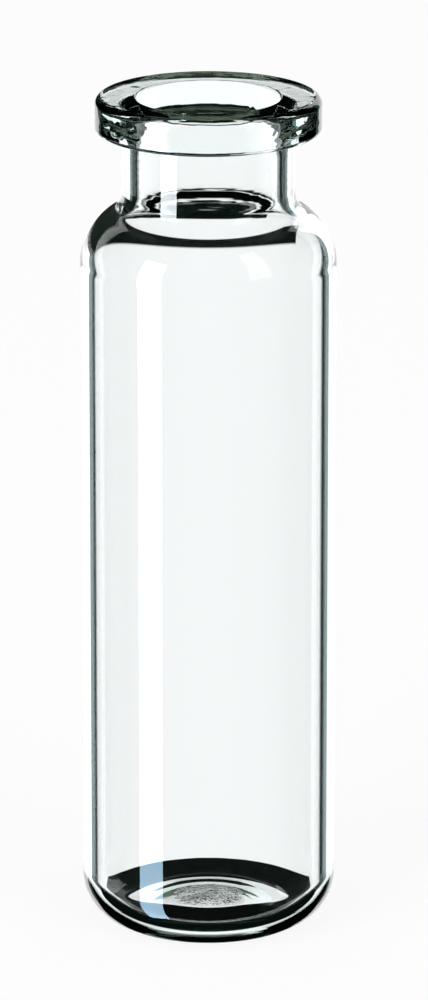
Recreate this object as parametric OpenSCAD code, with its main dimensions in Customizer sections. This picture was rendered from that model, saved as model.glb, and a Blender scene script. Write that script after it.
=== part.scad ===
// A 20 ml headspace sample vial, blown from one piece of clear glass tube: a pushed-up
// base, a straight body, a round shoulder, a short neck and a flange for a crimp cap.
// Lengths are in millimetres. The origin is at the bottom centre, +Z is up.

/* [Body] */
// Overall height, from the table to the rim
height = 75.5; // [56:0.5:95]
// Outer diameter of the body
body_d = 22.5; // [18.7:0.1:28]
// Thickness of the wall of the body
wall = 1.25; // [0.85:0.05:1.7]

/* [Shoulder] */
// Outer radius where the body turns in to the shoulder
shoulder_r = 5.8; // [3:0.1:8]
// Slope of the shoulder below the horizontal, in degrees
shoulder_slope = 30.5; // [20:0.5:45]
// Outer radius where the shoulder turns up into the neck
neck_root_r = 1.35; // [0.8:0.05:2.5]
// Thickness of the glass on the shoulder's slope
shoulder_t = 1.35; // [0.9:0.05:1.8]
// Inner radius where the wall turns in to the shoulder
inner_shoulder_r = 4; // [2:0.1:6]
// Inner radius where the bore opens out into the shoulder
throat_r = 3.2; // [1.5:0.1:4.5]

/* [Neck and crimp finish] */
// Diameter of the straight bore
bore_d = 12.4; // [10.2:0.1:14]
// Thickness of the wall of the neck
neck_wall = 1.4; // [1:0.05:1.9]
// From the rim down to the end of the straight neck
finish_h = 8.9; // [7.4:0.1:12]
// Outer diameter of the flange
flange_d = 19.8; // [17.5:0.1:22]
// Height of the flange at its rim
flange_h = 3.2; // [2.4:0.1:4]
// Slope of the underside of the flange, in degrees
flange_slope = 2; // [0:1:20]
// Radius of the flange's two outer edges
flange_edge_r = 0.5; // [0.2:0.05:1]
// Radius where the underside of the flange meets the neck
flange_root_r = 0.35; // [0.2:0.05:0.8]
// Radius of the lip round the mouth
lip_r = 0.4; // [0.1:0.05:0.8]

/* [Base] */
// Outer radius where the body turns in to the base
heel_r = 4.3; // [3:0.1:5.4]
// Inner radius where the wall turns in to the floor
inner_heel_r = 2.9; // [1.6:0.1:4]
// Thickness of the glass above the foot, round the edge of the floor
floor_t = 1.7; // [1.1:0.05:2.2]
// Width of the flat ring that the vial stands on
foot_w = 0.9; // [0.3:0.1:1.6]
// Height of the pushed-up middle of the base, seen from below
push_up = 0.75; // [0.2:0.05:1]
// Height of the dome in the middle of the floor, seen from above
floor_rise = 0.3; // [0.2:0.05:0.9]
// Diameter of the button in the middle of the floor, where the glass was closed
button_d = 5; // [3:0.5:9]
// Height of that button above the floor's dome
button_h = 0.2; // [0.05:0.05:0.3]

/* [Hidden] */
$fn = 120;

// Least width of the straight stretch between two arcs, measured across the vial
straight_w = 0.1;
// How far a rounding arc reaches past the lines that it touches, so that they always cross
blend = 0.0002;

body_r = body_d / 2;
inner_r = body_r - wall;
bore_r = bore_d / 2;
neck_r = bore_r + neck_wall;
flange_r = flange_d / 2;
foot_r = body_r - heel_r - foot_w;
floor_r = inner_r - inner_heel_r;
button_r = min(button_d / 2, floor_r - 1);

// Outward normal of the shoulder's slope, as a direction in the section
lean = 90 - shoulder_slope;
out_x = cos(lean);
out_z = sin(lean);

// Two arcs that meet on the shoulder's slope share the room between neck and wall, and
// both give way alike where it is short
function share(wide, narrow, a, b) = min(1, (wide - narrow - straight_w) / (1 - out_x) / (a + b));
outer_share = share(body_r, neck_r, shoulder_r, neck_root_r);
inner_share = share(inner_r, bore_r, inner_shoulder_r, throat_r);
root_r = neck_root_r * outer_share;

// Distance of the shoulder's slope from the origin along its normal, outside and inside,
// and the height at which such a slope stands at the distance x from the axis
outer_line = out_x * (neck_r + root_r) + out_z * (height - finish_h) - root_r;
inner_line = outer_line - shoulder_t;
function slope_z(line, x) = (line - out_x * x) / out_z;

// The flange's edges and root share its overhang
overhang = flange_r - neck_r;
edge_r = min(flange_edge_r, flange_h / 3, overhang / 3);
under_r = min(flange_root_r, overhang - 2 * edge_r);
under_z = height - flange_h;
under_root_z = under_z - overhang * tan(flange_slope);

// Direction from p to q
function toward(p, q) = (q - p) / norm(q - p);

// What the arc of radius r takes off, or fills in, at the corner p between the points a and b
module corner_piece(a, p, b, r) {
    to_a = toward(p, a);
    to_b = toward(p, b);
    half = acos(to_a * to_b) / 2;
    centre = p + (to_a + to_b) / norm(to_a + to_b) * r / sin(half);
    touch_a = p + to_a * r / tan(half);
    touch_b = p + to_b * r / tan(half);
    past = 1.1;
    difference() {
        polygon([
            centre,
            centre + past * (touch_a - centre),
            centre + past * (p - centre),
            centre + past * (touch_b - centre)
        ]);
        translate(centre) circle(r + blend);
    }
}

// Rounds the section's corners. Each corner is [point, radius]: a radius above 0 takes the
// corner off, one below 0 fills it in, and 0 leaves it sharp.
module rounded_section(corners) {
    points = [for (corner = corners) corner[0]];
    last = len(corners) - 1;
    difference() {
        union() {
            polygon(points);
            for (i = [1 : last - 1])
                if (corners[i][1] < 0)
                    corner_piece(points[i + 1], points[i], points[i - 1], -corners[i][1]);
        }
        for (i = [1 : last - 1])
            if (corners[i][1] > 0)
                corner_piece(points[i - 1], points[i], points[i + 1], corners[i][1]);
    }
}

// Radius of a shallow dome, from its half width and its rise
function dome_r(half_w, rise) = (half_w * half_w + rise * rise) / (2 * rise);

// How far such a dome has fallen from its top at the distance x from its axis
function dome_drop(half_w, rise, x) = dome_r(half_w, rise) - sqrt(pow(dome_r(half_w, rise), 2) - x * x);

// Half section under a shallow dome that rises from height z0 at its edge
module dome_section(half_w, z0, rise) {
    r = dome_r(half_w, rise);
    intersection() {
        translate([0, z0 + rise - r]) circle(r);
        translate([0, z0 - rise]) square([half_w + rise, 3 * rise]);
    }
}

// Half section of everything inside the outer surface
module outside_section() {
    difference() {
        rounded_section([
            [[0, 0], 0],
            [[body_r, 0], heel_r],
            [[body_r, slope_z(outer_line, body_r)], shoulder_r * outer_share],
            [[neck_r, slope_z(outer_line, neck_r)], -root_r],
            [[neck_r, under_root_z], -under_r],
            [[flange_r, under_z], edge_r],
            [[flange_r, height], edge_r],
            [[0, height], 0]
        ]);
        dome_section(foot_r, 0, push_up);
    }
}

// Half section of the middle of the floor: a low dome with a button on it
module floor_section() {
    button_drop = dome_drop(floor_r, floor_rise, button_r);
    dome_section(floor_r, floor_t, floor_rise);
    dome_section(button_r, floor_t + floor_rise - button_drop, button_drop + button_h);
}

// Half section of the room inside, from the floor to above the mouth
module inside_section() {
    clear = 1;
    difference() {
        rounded_section([
            [[0, floor_t], 0],
            [[inner_r, floor_t], inner_heel_r],
            [[inner_r, slope_z(inner_line, inner_r)], inner_shoulder_r * inner_share],
            [[bore_r, slope_z(inner_line, bore_r)], -throat_r * inner_share],
            [[bore_r, height], -lip_r],
            [[bore_r + clear, height], 0],
            [[bore_r + clear, height + clear], 0],
            [[0, height + clear], 0]
        ]);
        floor_section();
    }
}

// The whole vial, turned from one section
module vial() {
    color([0.9, 0.95, 0.93, 0.35])
        rotate_extrude()
            difference() {
                outside_section();
                inside_section();
            }
}

vial();
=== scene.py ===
"""A clear glass sample vial with a flange for a crimp cap, on a pale studio floor.

Sizes are in metres. The vial is one piece of glass turned from one half section: a list
of corners, each with the radius that rounds it. The section is worked out inside the
lathe tree from the sizes below. They are the solid model's, apart from the rim, the lip
and the base, which are shaped a little differently here.
"""

import math

import bpy
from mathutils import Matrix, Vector


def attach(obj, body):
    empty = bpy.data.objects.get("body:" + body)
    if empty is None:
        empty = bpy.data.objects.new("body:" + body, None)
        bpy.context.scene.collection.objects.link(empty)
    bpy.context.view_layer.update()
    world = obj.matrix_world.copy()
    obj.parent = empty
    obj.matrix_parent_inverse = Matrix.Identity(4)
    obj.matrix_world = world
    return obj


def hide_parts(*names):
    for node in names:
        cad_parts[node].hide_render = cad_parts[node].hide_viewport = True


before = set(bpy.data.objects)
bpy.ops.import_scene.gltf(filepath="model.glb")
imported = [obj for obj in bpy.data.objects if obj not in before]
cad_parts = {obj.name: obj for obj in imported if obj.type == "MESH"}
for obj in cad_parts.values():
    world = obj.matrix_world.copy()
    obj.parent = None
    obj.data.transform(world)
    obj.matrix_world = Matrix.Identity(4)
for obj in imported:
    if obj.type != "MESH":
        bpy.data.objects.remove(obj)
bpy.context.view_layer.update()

MM = 0.001
MICRON = 0.000001

# Body and shoulder
HEIGHT = 75.5 * MM
BODY_D = 22.5 * MM
WALL = 1.25 * MM
SHOULDER_R = 5.8 * MM
SHOULDER_SLOPE = 30.5
NECK_ROOT_R = 1.35 * MM
SHOULDER_T = 1.35 * MM
INNER_SHOULDER_R = 4.0 * MM
THROAT_R = 3.2 * MM

# Neck and crimp finish. The rim's edge, its dish and the lip are this model's own
BORE_D = 12.4 * MM
NECK_WALL = 1.4 * MM
FINISH_H = 8.9 * MM
FLANGE_D = 19.8 * MM
FLANGE_H = 3.2 * MM
FLANGE_SLOPE = 2.0
FLANGE_EDGE_R = 0.5 * MM
RIM_EDGE_R = 0.75 * MM
RIM_DISH = 0.15 * MM
FLANGE_ROOT_R = 0.35 * MM
LIP_R = 0.3 * MM

# Base. These four are this model's own, and the rounded result of a fitting program
HEEL_R = 4.35 * MM
INNER_HEEL_R = 2.88 * MM
FLOOR_T = 1.74 * MM
FOOT_W = 1.09 * MM

# The middle of the base, as (distance from the axis, height) in millimetres: the underside,
# which is pushed up inside the foot ring, and the floor above its own edge, with the button
# where the glass was closed. The heights and both slopes are the rounded result of a fitting
# program as well: they are data, and not sizes that a maker would give
UNDER_HEIGHTS = ((0.0, 0.79), (1.5, 0.65), (3.0, 0.545), (4.5, 0.295))
UNDER_EDGE_SLOPE = -0.21
FLOOR_HEIGHTS = ((0.0, 0.60), (1.2, 0.515), (2.4, 0.35), (3.6, 0.21), (4.8, 0.12))
FLOOR_EDGE_SLOPE = -0.015

# Mesh of the glass: steps in a full turn, in each rounding, and along each free curve
STEPS_ROUND = 256
STEPS_LARGE = 40
STEPS_THROAT = 30
STEPS_NECK_ROOT = 24
STEPS_EDGE = 16
STEPS_SMALL = 12
STEPS_UNDERSIDE = 32
STEPS_FLOOR = 48
TURNING_R = 20.0 * MM
WELD = MICRON

# Glass: its index, its tint, and how uneven it is from hollow to crest, in microns
GLASS_INDEX = 1.5
GLASS_TINT = (0.4, 0.88, 0.85, 1.0)
GLASS_TINT_DENSITY = 25.0
FLOOR_RIPPLE = 140.0
BORE_RIPPLE = 7.0
FLANGE_RIPPLE = 50.0
HEEL_RIPPLE = 4.0

# Panel behind the vial, and its dim fringe at each side, as distances across and up where
# the panel stands one unit away. Right of the step its head is higher
PANEL_LEFT = -0.645
PANEL_RIGHT = 0.58
FRINGE_LEFT = -0.85
FRINGE_RIGHT = 0.765
PANEL_FOOT = -0.767
PANEL_HEAD = -0.122
PANEL_HEAD_RIGHT = 0.62
PANEL_STEP = 0.15
PANEL_STEP_SOFT = 0.06
PANEL_SIDE_SOFT = 0.02
PANEL_END_SOFT = 0.03
PANEL_LIGHT = (1.1, 1.1, 1.1)
PANEL_EDGE_GLOW = 0.5
PANEL_GLOW_FROM = 0.12
PANEL_GLOW_OVER = 0.4
FRINGE_LIGHT = (0.165, 0.25, 0.25)

# Dark stand before the middle of the panel's foot, in the same distances. Only light that
# has been reflected inside the glass meets it
STAND_TOP = -0.68
STAND_HALF = 0.218
STAND_SOFT = 0.05

# Halfway between a count of no reflection and one
HALF_REFLECTION = 0.5

# Only what lies ahead can meet the panel's plane
LEAST_AHEAD = 0.02
AHEAD_FROM = 0.05
AHEAD_SOFT = 0.02

# Room round the panel, in degrees round from straight ahead and up from level: dark, but
# pale at the sides and below for light that has not been reflected inside the glass
ROOM_DARK = (0.002, 0.005, 0.004)
ROOM_GLOW = 0.9
ROOM_SIDE = 44.0
ROOM_SIDE_SOFT = 8.0
ROOM_TOP = 2.0
ROOM_TOP_SOFT = 2.0
ROOM_BELOW = -36.0
ROOM_BELOW_SOFT = 4.0

# Dim ceiling for light that has been reflected inside the glass: a share of it where the
# light leaves steeply upwards, and all of it after many reflections
CEILING_LIGHT = (0.2, 0.24, 0.18)
CEILING_SHARE = 0.1
CEILING_FROM = 40.0
CEILING_SOFT = 16.0
MANY_FROM = 2.0
MANY_OVER = 2.0

# What lights the floor, from all round
PLAIN_LIGHT = 0.5

# Floor, and the black card below it, whose black is painted shade that only the glass sees
FLOOR_REACH = 4.0
FLOOR_GREY = (0.86, 0.86, 0.86, 1.0)
FLOOR_WHITE_SHARE = 0.9
CARD_NEAR = 15.0 * MM
CARD_FAR = 114.0 * MM
CARD_HALF = 34.0 * MM
CARD_HEIGHT = -50.0 * MM
SHADE_CARD_BLACK = (0.004, 0.005, 0.005, 1.0)

# Lamps. The left one is in two lengths, which meet at the join
LAMP_AWAY = 1.5
LEFT_LAMP_ROUND = -54.0
LEFT_LAMP_WIDE = 0.62
LEFT_LAMP_JOIN = -0.433
RIGHT_LAMP_ROUND = 48.5
FILL_ROUND = 40.0

# Camera: its sensor, its lens in sensor widths, how far it looks down, and the point that it
# looks at and how far away it stands from that
CAMERA_SENSOR = 36.0
CAMERA_LENS = 7.066
CAMERA_DOWN = 16.6
CAMERA_AIM = (0.00049, 0.0, 0.0388)
CAMERA_AWAY = 0.624


# ---------------------------------------------------------------- sums inside a node tree


class Size:
    """A number inside a node tree, so that a size is worked out there as it is on paper."""

    def __init__(self, tree, socket):
        self.tree = tree
        self.socket = socket

    def sum(self, operation, other=None, swap=False):
        made = self.tree.nodes.new("ShaderNodeMath")
        made.operation = operation
        terms = [other, self] if swap else [self, other]
        for place, term in zip(made.inputs, terms):
            put(self.tree, place, term)
        return Size(self.tree, made.outputs[0])

    def __add__(self, other):
        return self.sum("ADD", other)

    def __radd__(self, other):
        return self.sum("ADD", other)

    def __sub__(self, other):
        return self.sum("SUBTRACT", other)

    def __rsub__(self, other):
        return self.sum("SUBTRACT", other, swap=True)

    def __mul__(self, other):
        return self.sum("MULTIPLY", other)

    def __truediv__(self, other):
        return self.sum("DIVIDE", other)

    def __neg__(self):
        return self.sum("MULTIPLY", -1.0)


def put(tree, place, value):
    """Sets a socket from a plain value, or joins a size or another node's socket to it."""
    if value is None:
        return
    if isinstance(value, Size):
        value = value.socket
    if isinstance(value, bpy.types.NodeSocket):
        tree.links.new(value, place)
    else:
        place.default_value = value


def node(tree, kind, set_up=None, **values):
    """Adds a node. Inputs are named by their label, with _ for a space."""
    made = tree.nodes.new(kind)
    for name, value in (set_up or {}).items():
        setattr(made, name, value)
    for name, value in values.items():
        put(tree, made.inputs[name.replace("_", " ")], value)
    return made


# ---------------------------------------------------------------- the lathe


def smooth_curve(heights, edge, edge_slope, steps):
    """Points of one smooth curve through the heights, level on the axis and with the given
    slope at its edge, where its height is 0. All in millimetres; the result is in metres."""
    knots = list(heights) + [(edge, 0.0)]
    last = len(knots) - 1
    # Slopes at the knots, so that the curve bends evenly through each: forwards, then back
    slope = [0.0] * (last + 1)
    slope[last] = edge_slope
    share = [0.0] * (last + 1)
    rest = [0.0] * (last + 1)
    for i in range(1, last):
        (x0, y0), (x1, y1), (x2, y2) = knots[i - 1:i + 2]
        before = x1 - x0
        after = x2 - x1
        given = 3.0 * (after * (y1 - y0) / before + before * (y2 - y1) / after)
        pivot = 2.0 * (before + after) - after * share[i - 1]
        share[i] = before / pivot
        rest[i] = (given - after * rest[i - 1]) / pivot
    for i in range(last - 1, 0, -1):
        slope[i] = rest[i] - share[i] * slope[i + 1]
    points = []
    for step in range(steps + 1):
        x = edge * step / steps
        i = 0
        while i < last - 1 and x > knots[i + 1][0]:
            i += 1
        (x0, y0), (x1, y1) = knots[i:i + 2]
        wide = x1 - x0
        t = (x - x0) / wide
        y = (y0 * (1 + 2 * t) * (1 - t) ** 2 + y1 * t * t * (3 - 2 * t)
             + wide * (slope[i] * t * (1 - t) ** 2 - slope[i + 1] * t * t * (1 - t)))
        points.append((x * MM, y * MM))
    return points


def section_corners(s):
    """The half section from the middle of the underside, up the outside, over the rim and down
    the inside to the middle of the floor. Each corner is (distance from the axis, height,
    radius that rounds it, steps in that rounding)."""
    body_r = s["Body diameter"] / 2.0
    bore_r = s["Bore diameter"] / 2.0
    neck_r = bore_r + s["Neck wall"]
    flange_r = s["Flange diameter"] / 2.0
    inner_r = body_r - s["Wall"]

    # Underside, inside the ring that the vial stands on
    foot_r = (BODY_D / 2.0 - HEEL_R - FOOT_W) / MM
    under = smooth_curve(UNDER_HEIGHTS, foot_r, UNDER_EDGE_SLOPE, STEPS_UNDERSIDE)
    corners = [(x, z, 0.0, 1) for x, z in under]
    corners.append((body_r, 0.0, s["Heel radius"], STEPS_LARGE))

    # Outside of the shoulder and neck
    lean = (90.0 - s["Shoulder slope"]) * math.radians(1.0)
    out_x = lean.sum("COSINE")
    out_z = lean.sum("SINE")
    root = s["Neck root radius"]
    line = out_x * (neck_r + root) + out_z * (s["Height"] - s["Finish height"]) - root
    arc = s["Shoulder radius"]
    corners += [
        (body_r, (line - out_x * body_r) / out_z, arc, STEPS_LARGE),
        (neck_r, (line - out_x * neck_r) / out_z, root, STEPS_NECK_ROOT),
    ]

    # Flange: its underside slopes, and its two outer edges are round
    edge = s["Flange edge radius"]
    under_z = s["Height"] - s["Flange height"]
    fall = (flange_r - neck_r) * (s["Flange slope"] * math.radians(1.0)).sum("TANGENT")
    corners += [
        (neck_r, under_z - fall, s["Flange root radius"], STEPS_SMALL),
        (flange_r, under_z, edge, STEPS_EDGE),
        (flange_r, s["Height"], s["Rim edge radius"], STEPS_EDGE),
        (bore_r, s["Height"] - s["Rim dish"], s["Lip radius"], STEPS_SMALL),
    ]

    # Inside of the neck and shoulder
    inner = line - s["Shoulder thickness"]
    corners += [
        (bore_r, (inner - out_x * bore_r) / out_z, s["Throat radius"], STEPS_THROAT),
        (inner_r, (inner - out_x * inner_r) / out_z, s["Inner shoulder radius"], STEPS_LARGE),
    ]

    # Floor, from its round inner heel to the button in the middle
    floor_r = (BODY_D / 2.0 - WALL - INNER_HEEL_R) / MM
    floor_z = s["Floor thickness"]
    corners.append((inner_r, floor_z, s["Inner heel radius"], STEPS_LARGE))
    floor = smooth_curve(FLOOR_HEIGHTS, floor_r, FLOOR_EDGE_SLOPE, STEPS_FLOOR)
    corners += [(x, floor_z + z, 0.0, 1) for x, z in reversed(floor)]
    return corners


def pick(tree, index, values, kind):
    """One value for each corner, chosen by the corner's index."""
    switch = node(tree, "GeometryNodeIndexSwitch", {"data_type": kind})
    while len(switch.index_switch_items) < len(values):
        switch.index_switch_items.new()
    put(tree, switch.inputs["Index"], index)
    for place, value in zip(switch.inputs[1:], values):
        put(tree, place, value)
    return switch.outputs[0]


def lathe_tree(sizes):
    """Turns the section round the axis. Every size is a named input, apart from the free
    curves in the middle of the base, which are points that are worked out beforehand."""
    tree = bpy.data.node_groups.new("vial lathe", "GeometryNodeTree")
    tree.interface.new_socket("Geometry", in_out="INPUT", socket_type="NodeSocketGeometry")
    tree.interface.new_socket("Geometry", in_out="OUTPUT", socket_type="NodeSocketGeometry")
    for name, value in sizes.items():
        whole = isinstance(value, int)
        kind = "NodeSocketInt" if whole else "NodeSocketFloat"
        tree.interface.new_socket(name, in_out="INPUT", socket_type=kind)
    tree.interface.new_socket("Glass", in_out="INPUT", socket_type="NodeSocketMaterial")
    given = node(tree, "NodeGroupInput")
    s = {name: Size(tree, given.outputs[name]) for name in sizes}

    corners = section_corners(s)
    index = node(tree, "GeometryNodeInputIndex").outputs[0]
    x = pick(tree, index, [c[0] for c in corners], "FLOAT")
    z = pick(tree, index, [c[1] for c in corners], "FLOAT")
    radius = pick(tree, index, [c[2] for c in corners], "FLOAT")
    steps = pick(tree, index, [c[3] for c in corners], "INT")

    # The section as a curve, drawn flat: x is the distance from the axis, y the height
    place = node(tree, "ShaderNodeCombineXYZ", X=Size(tree, x) - s["Turning radius"],
                 Y=-Size(tree, z))
    points = node(tree, "GeometryNodePoints", Count=len(corners), Position=place.outputs[0])
    corner_curve = node(tree, "GeometryNodePointsToCurves", Points=points.outputs[0])
    section = node(tree, "GeometryNodeFilletCurve", {"mode": "POLY"}, Curve=corner_curve.outputs[0],
                   Count=steps, Radius=radius, Limit_Radius=True)

    # Turned: the section runs round a ring, which it reaches past to the axis
    ring = node(tree, "GeometryNodeCurvePrimitiveCircle", Resolution=s["Steps round"],
                Radius=s["Turning radius"])
    turned = node(tree, "GeometryNodeCurveToMesh", Curve=ring.outputs[0],
                  Profile_Curve=section.outputs[0], Fill_Caps=False)
    closed = node(tree, "GeometryNodeMergeByDistance", Geometry=turned.outputs[0], Distance=WELD)
    facing = node(tree, "GeometryNodeFlipFaces", Mesh=closed.outputs[0])
    smooth = node(tree, "GeometryNodeSetShadeSmooth", Geometry=facing.outputs[0])
    real = node(tree, "GeometryNodeRealizeInstances", Geometry=smooth.outputs[0])
    coated = node(tree, "GeometryNodeSetMaterial", Geometry=real.outputs[0],
                  Material=given.outputs["Glass"])
    out = node(tree, "NodeGroupOutput")
    tree.links.new(coated.outputs[0], out.inputs[0])
    return tree


def turned_vial(glass):
    """The whole vial as one closed mesh."""
    sizes = {
        "Height": HEIGHT,
        "Body diameter": BODY_D,
        "Wall": WALL,
        "Shoulder radius": SHOULDER_R,
        "Shoulder slope": SHOULDER_SLOPE,
        "Neck root radius": NECK_ROOT_R,
        "Shoulder thickness": SHOULDER_T,
        "Inner shoulder radius": INNER_SHOULDER_R,
        "Throat radius": THROAT_R,
        "Bore diameter": BORE_D,
        "Neck wall": NECK_WALL,
        "Finish height": FINISH_H,
        "Flange diameter": FLANGE_D,
        "Flange height": FLANGE_H,
        "Flange slope": FLANGE_SLOPE,
        "Flange edge radius": FLANGE_EDGE_R,
        "Rim edge radius": RIM_EDGE_R,
        "Rim dish": RIM_DISH,
        "Flange root radius": FLANGE_ROOT_R,
        "Lip radius": LIP_R,
        "Heel radius": HEEL_R,
        "Inner heel radius": INNER_HEEL_R,
        "Floor thickness": FLOOR_T,
        "Turning radius": TURNING_R,
        "Steps round": STEPS_ROUND,
    }
    tree = lathe_tree(sizes)
    blank = bpy.data.objects.new("blank", bpy.data.meshes.new("blank"))
    bpy.context.collection.objects.link(blank)
    lathe = blank.modifiers.new("Lathe", "NODES")
    lathe.node_group = tree
    for item in tree.interface.items_tree:
        if item.item_type != "SOCKET" or item.in_out != "INPUT":
            continue
        if item.name in sizes:
            lathe[item.identifier] = sizes[item.name]
        elif item.name == "Glass":
            lathe[item.identifier] = glass
    bpy.context.view_layer.update()
    depsgraph = bpy.context.evaluated_depsgraph_get()
    mesh = bpy.data.meshes.new_from_object(blank.evaluated_get(depsgraph))
    mesh.name = "vial_glass"
    vial = bpy.data.objects.new("vial_glass", mesh)
    bpy.context.collection.objects.link(vial)
    bpy.data.objects.remove(blank)
    return vial


# ---------------------------------------------------------------- glass


def ripples(tree, across, up, detail, seed):
    """Uneven glass, about 0 on average: across and up are the sizes of one ripple."""
    where = node(tree, "ShaderNodeTexCoord")
    scale = node(tree, "ShaderNodeMapping", {"vector_type": "POINT"}, Vector=where.outputs["Object"],
                 Scale=(1.0 / across, 1.0 / across, 1.0 / up), Location=(seed, 0.0, 0.0))
    noise = node(tree, "ShaderNodeTexNoise", Vector=scale.outputs[0], Scale=1.0, Detail=detail)
    return Size(tree, noise.outputs[0]) - 0.5


def between(tree, value, low, high, soft):
    """1 from low to high, 0 outside, with a soft step at each end."""
    rise = node(tree, "ShaderNodeMapRange", {"interpolation_type": "SMOOTHSTEP"}, Value=value,
                From_Min=low - soft, From_Max=low + soft)
    fall = node(tree, "ShaderNodeMapRange", {"interpolation_type": "SMOOTHSTEP"}, Value=value,
                From_Min=high - soft, From_Max=high + soft)
    return Size(tree, rise.outputs[0]) * (1.0 - Size(tree, fall.outputs[0]))


def clear_glass():
    """Clear borosilicate: bright surfaces, and a green-grey tint that shows only where the
    light has gone a long way through the wall. The glass is uneven where it was worked: the
    middle of the floor, the neck's bore, the flange and, less so, the heel."""
    glass = bpy.data.materials.new("clear_glass")
    glass.use_nodes = True
    tree = glass.node_tree
    surface = tree.nodes["Principled BSDF"]
    surface.inputs["Base Color"].default_value = (1.0, 1.0, 1.0, 1.0)
    surface.inputs["Roughness"].default_value = 0.0
    surface.inputs["IOR"].default_value = GLASS_INDEX
    surface.inputs["Transmission Weight"].default_value = 1.0
    tint = tree.nodes.new("ShaderNodeVolumeAbsorption")
    tint.inputs["Color"].default_value = GLASS_TINT
    tint.inputs["Density"].default_value = GLASS_TINT_DENSITY
    out = tree.nodes["Material Output"]
    tree.links.new(tint.outputs[0], out.inputs["Volume"])

    where = node(tree, "ShaderNodeTexCoord")
    part = node(tree, "ShaderNodeSeparateXYZ", Vector=where.outputs["Object"])
    x = Size(tree, part.outputs["X"])
    y = Size(tree, part.outputs["Y"])
    z = Size(tree, part.outputs["Z"])
    reach = (x * x + y * y).sum("SQRT")

    closed = (between(tree, reach, low=-1.0, high=2.9 * MM, soft=0.5 * MM)
              * between(tree, z, low=1.5 * MM, high=6.0 * MM, soft=0.1 * MM))
    bore = (between(tree, reach, low=5.0 * MM, high=6.9 * MM, soft=0.2 * MM)
            * between(tree, z, low=64.0 * MM, high=73.5 * MM, soft=1.0 * MM))
    flange = between(tree, z, low=71.5 * MM, high=80.0 * MM, soft=0.6 * MM)
    heel = between(tree, z, low=-1.0 * MM, high=4.5 * MM, soft=1.0 * MM)

    grain = ripples(tree, across=0.5 * MM, up=0.5 * MM, detail=2.0, seed=3.0)
    height = closed * grain * FLOOR_RIPPLE
    grain = ripples(tree, across=4.0 * MM, up=0.35 * MM, detail=1.0, seed=7.0)
    height = height + bore * grain * BORE_RIPPLE
    grain = ripples(tree, across=1.4 * MM, up=0.9 * MM, detail=1.0, seed=11.0)
    height = height + flange * grain * FLANGE_RIPPLE
    grain = ripples(tree, across=3.0 * MM, up=2.0 * MM, detail=1.0, seed=17.0)
    height = height + heel * grain * HEEL_RIPPLE
    bump = node(tree, "ShaderNodeBump", Strength=1.0, Distance=MICRON, Height=height)
    tree.links.new(bump.outputs[0], surface.inputs["Normal"])
    return glass


# ---------------------------------------------------------------- studio


def flat_sheet(name, paint, half, near, far, height):
    """A level sheet, which reaches half to each side, and the empty tree of its material."""
    mesh = bpy.data.meshes.new(name)
    corners = [(-half, near, height), (half, near, height), (half, far, height), (-half, far, height)]
    mesh.from_pydata(corners, [], [(0, 1, 2, 3)])
    sheet = bpy.data.objects.new(name, mesh)
    bpy.context.collection.objects.link(sheet)
    material = bpy.data.materials.new(paint)
    material.use_nodes = True
    material.node_tree.nodes.clear()
    mesh.materials.append(material)
    return sheet, material.node_tree


def mixed_surface(tree, share, first, second):
    """Ends a sheet's material with two shaders, the second in the given share."""
    mix = node(tree, "ShaderNodeMixShader", Fac=share)
    tree.links.new(first.outputs[0], mix.inputs[1])
    tree.links.new(second.outputs[0], mix.inputs[2])
    out = node(tree, "ShaderNodeOutputMaterial")
    tree.links.new(mix.outputs[0], out.inputs["Surface"])


def stage_floor():
    """A pale floor that shows near white to the camera and keeps the vial's shadow. The glass
    does not see it, but the panel and the room in its place."""
    floor, tree = flat_sheet("floor", "pale_floor", FLOOR_REACH, -FLOOR_REACH, FLOOR_REACH, 0.0)
    rays = node(tree, "ShaderNodeLightPath")
    cloth = node(tree, "ShaderNodeBsdfDiffuse", Color=FLOOR_GREY)
    white = node(tree, "ShaderNodeEmission", Color=(1.0, 1.0, 1.0, 1.0), Strength=1.0)
    share = Size(tree, rays.outputs["Is Camera Ray"]) * FLOOR_WHITE_SHARE
    mixed_surface(tree, share, cloth, white)
    floor.visible_transmission = False
    floor.visible_glossy = False
    return floor


def shade_card():
    """A black card under the base, which only the light that comes through the glass sees. Its black
    is painted shade, which stands in for the shade under the vial. The base bends that light down to
    it, so that its rings show dark. Light that has been reflected inside the glass passes it by."""
    card, tree = flat_sheet("shade_card", "painted_shade_card", CARD_HALF, CARD_NEAR, CARD_FAR, CARD_HEIGHT)
    rays = node(tree, "ShaderNodeLightPath")
    bounced = Size(tree, rays.outputs["Glossy Depth"]).sum("GREATER_THAN", HALF_REFLECTION)
    # Painted shade: the card's black stands in for the shade under the base, seen through the glass
    painted_shade = node(tree, "ShaderNodeBsdfDiffuse", Color=SHADE_CARD_BLACK)
    clear = node(tree, "ShaderNodeBsdfTransparent")
    mixed_surface(tree, bounced, painted_shade, clear)
    card.visible_camera = False
    card.visible_diffuse = False
    card.visible_glossy = False
    card.visible_shadow = False
    return card


def soft_box(name, azimuth, low, high, wide, glow, colour, reflection=True):
    """A soft lamp that stands upright and faces the vial. Azimuth is round from the camera's
    side, low and high are its ends' heights, and glow is how bright it looks. A lamp either
    shows as a reflection in the glass or lights the floor."""
    data = bpy.data.lights.new(name, "AREA")
    data.shape = "RECTANGLE"
    data.size = wide
    data.size_y = high - low
    data.energy = glow * math.pi * wide * (high - low)
    data.color = colour
    lamp = bpy.data.objects.new(name, data)
    bpy.context.collection.objects.link(lamp)
    a = math.radians(azimuth)
    away = Vector((math.sin(a), -math.cos(a), 0.0))
    lamp.location = away * LAMP_AWAY + Vector((0.0, 0.0, (low + high) / 2.0))
    lamp.rotation_euler = away.to_track_quat("Z", "Y").to_euler()
    lamp.visible_camera = False
    lamp.visible_transmission = False
    lamp.visible_glossy = reflection
    lamp.visible_diffuse = not reflection
    return lamp


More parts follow.
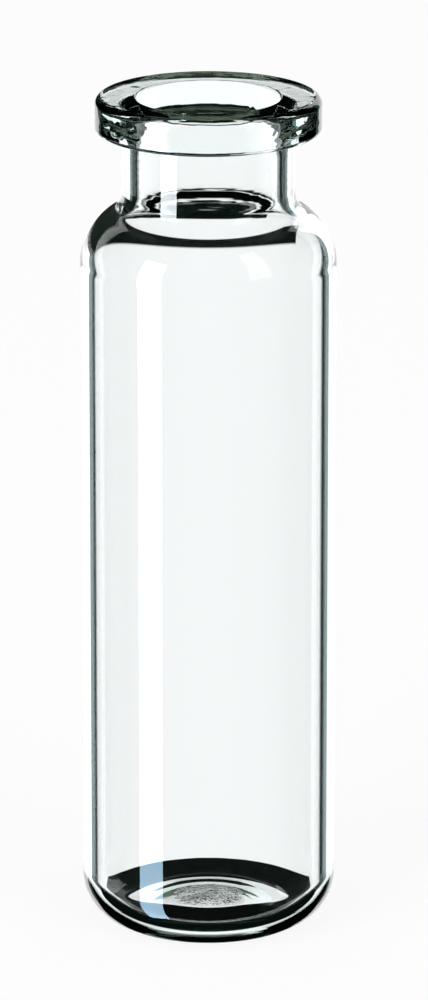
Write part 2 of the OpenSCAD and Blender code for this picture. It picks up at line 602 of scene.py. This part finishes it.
def studio_world():
    """The surroundings. The camera sees white, and the floor is lit from all round. The glass
    sees neither: it sees a bright panel behind the vial, with a dim fringe, in a dark room.
    Light that has not been reflected inside the glass sees that room pale at the sides,
    behind and below. Light that has been reflected there sees a dark stand before the
    panel's foot, and a dim ceiling."""
    world = bpy.data.worlds.new("studio")
    bpy.context.scene.world = world
    world.use_nodes = True
    tree = world.node_tree
    tree.nodes.clear()
    out = tree.nodes.new("ShaderNodeOutputWorld")
    sky = node(tree, "ShaderNodeBackground", Strength=1.0)
    tree.links.new(sky.outputs[0], out.inputs[0])
    rays = tree.nodes.new("ShaderNodeLightPath")
    where = tree.nodes.new("ShaderNodeTexCoord")
    part = node(tree, "ShaderNodeSeparateXYZ", Vector=where.outputs["Generated"])

    def size(socket):
        return Size(tree, socket)

    x = size(part.outputs["X"])
    y = size(part.outputs["Y"])
    z = size(part.outputs["Z"])

    def clamp(value):
        return value.sum("MAXIMUM", 0.0).sum("MINIMUM", 1.0)

    def over(value, edge, soft):
        """0 below the edge, 1 above it, with a soft step between."""
        return clamp((value - edge) / soft + 0.5)

    # Where a ray crosses the panel's plane, one unit behind the vial
    behind = y.sum("MAXIMUM", LEAST_AHEAD)
    across = x / behind
    up = z / behind
    ahead = over(y, AHEAD_FROM, AHEAD_SOFT)

    reflections = size(rays.outputs["Glossy Depth"])
    bounced = reflections.sum("GREATER_THAN", HALF_REFLECTION)

    def strip(left, right):
        return over(across, left, PANEL_SIDE_SOFT) * (1.0 - over(across, right, PANEL_SIDE_SOFT))

    off_middle = across.sum("ABSOLUTE")
    side = over(off_middle, STAND_HALF, STAND_SOFT)
    low = PANEL_FOOT + (1.0 - side) * bounced * (STAND_TOP - PANEL_FOOT)
    right = over(across, PANEL_STEP, PANEL_STEP_SOFT)
    high = PANEL_HEAD + right * (PANEL_HEAD_RIGHT - PANEL_HEAD)
    above_foot = over(up - low, 0.0, PANEL_END_SOFT)
    above_head = over(up - high, 0.0, PANEL_END_SOFT)
    tall = above_foot * (1.0 - above_head) * ahead
    glow = 1.0 + clamp((off_middle - PANEL_GLOW_FROM) / PANEL_GLOW_OVER) * PANEL_EDGE_GLOW
    panel = strip(PANEL_LEFT, PANEL_RIGHT) * tall
    fringe = strip(FRINGE_LEFT, FRINGE_RIGHT) * tall - panel

    # The pale room: beside and behind, from a little above level down, and steeply down
    turn = x.sum("ARCTAN2", y) * math.degrees(1.0)
    rise = z.sum("ARCSINE") * math.degrees(1.0)
    off_ahead = turn.sum("ABSOLUTE")
    beside = over(off_ahead, ROOM_SIDE, ROOM_SIDE_SOFT) * (1.0 - over(rise, ROOM_TOP, ROOM_TOP_SOFT))
    below = 1.0 - over(rise, ROOM_BELOW, ROOM_BELOW_SOFT)
    room = beside.sum("MAXIMUM", below) * (1.0 - bounced)

    many = clamp((reflections - MANY_FROM) / MANY_OVER)
    steep = over(rise, CEILING_FROM, CEILING_SOFT) * CEILING_SHARE
    ceiling = steep.sum("MAXIMUM", many) * bounced

    bright = (panel * glow).sum("MAXIMUM", room * ROOM_GLOW)
    through = rays.outputs["Is Transmission Ray"]
    glass_ray = size(rays.outputs["Is Glossy Ray"]).sum("MAXIMUM", through)
    camera_ray = size(rays.outputs["Is Camera Ray"])
    plain = camera_ray + (1.0 - glass_ray) * (1.0 - camera_ray) * PLAIN_LIGHT
    mixed = node(tree, "ShaderNodeCombineColor")
    lights = zip(mixed.inputs, PANEL_LIGHT, FRINGE_LIGHT, CEILING_LIGHT, ROOM_DARK)
    for place, light, tint, dim, dark in lights:
        seen = (bright * light).sum("MAXIMUM", ceiling * dim) + fringe * tint + dark
        put(tree, place, seen * glass_ray + plain)
    tree.links.new(mixed.outputs[0], sky.inputs["Color"])
    return world


def camera():
    """The camera, in front of the vial and a little above it."""
    data = bpy.data.cameras.new("camera")
    data.sensor_width = CAMERA_SENSOR
    data.lens = CAMERA_SENSOR * CAMERA_LENS
    data.clip_start = 0.05
    data.clip_end = 20.0
    cam = bpy.data.objects.new("camera", data)
    bpy.context.collection.objects.link(cam)
    pitch = math.radians(CAMERA_DOWN)
    aim = Vector(CAMERA_AIM)
    away = Vector((0.0, -math.cos(pitch), math.sin(pitch)))
    cam.location = aim + away * CAMERA_AWAY
    cam.rotation_euler = away.to_track_quat("Z", "Y").to_euler()
    bpy.context.scene.camera = cam
    return cam


# ---------------------------------------------------------------- put together

glass = clear_glass()
vial = turned_vial(glass)
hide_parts("vial")
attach(vial, "root")

stage_floor()
# Black card under the floor: painted shade under the base, seen only through the glass
shade_card()
soft_box("left_lamp", azimuth=LEFT_LAMP_ROUND, low=LEFT_LAMP_JOIN, high=1.05,
         wide=LEFT_LAMP_WIDE, glow=20.0, colour=(0.86, 0.95, 1.0))
soft_box("left_lamp_foot", azimuth=LEFT_LAMP_ROUND, low=-1.5, high=LEFT_LAMP_JOIN,
         wide=LEFT_LAMP_WIDE, glow=15.0, colour=(0.51, 0.77, 1.0))
soft_box("right_lamp", azimuth=RIGHT_LAMP_ROUND, low=0.3, high=2.0,
         wide=0.55, glow=3.0, colour=(0.7, 0.87, 1.0))
for name, azimuth, glow in (("left_fill", -FILL_ROUND, 6.5), ("right_fill", FILL_ROUND, 4.5)):
    soft_box(name, azimuth, low=0.4, high=1.5, wide=1.0, glow=glow, colour=(1.0, 1.0, 1.0),
             reflection=False)
studio_world()
camera()

scene = bpy.context.scene
scene.view_settings.view_transform = "Standard"
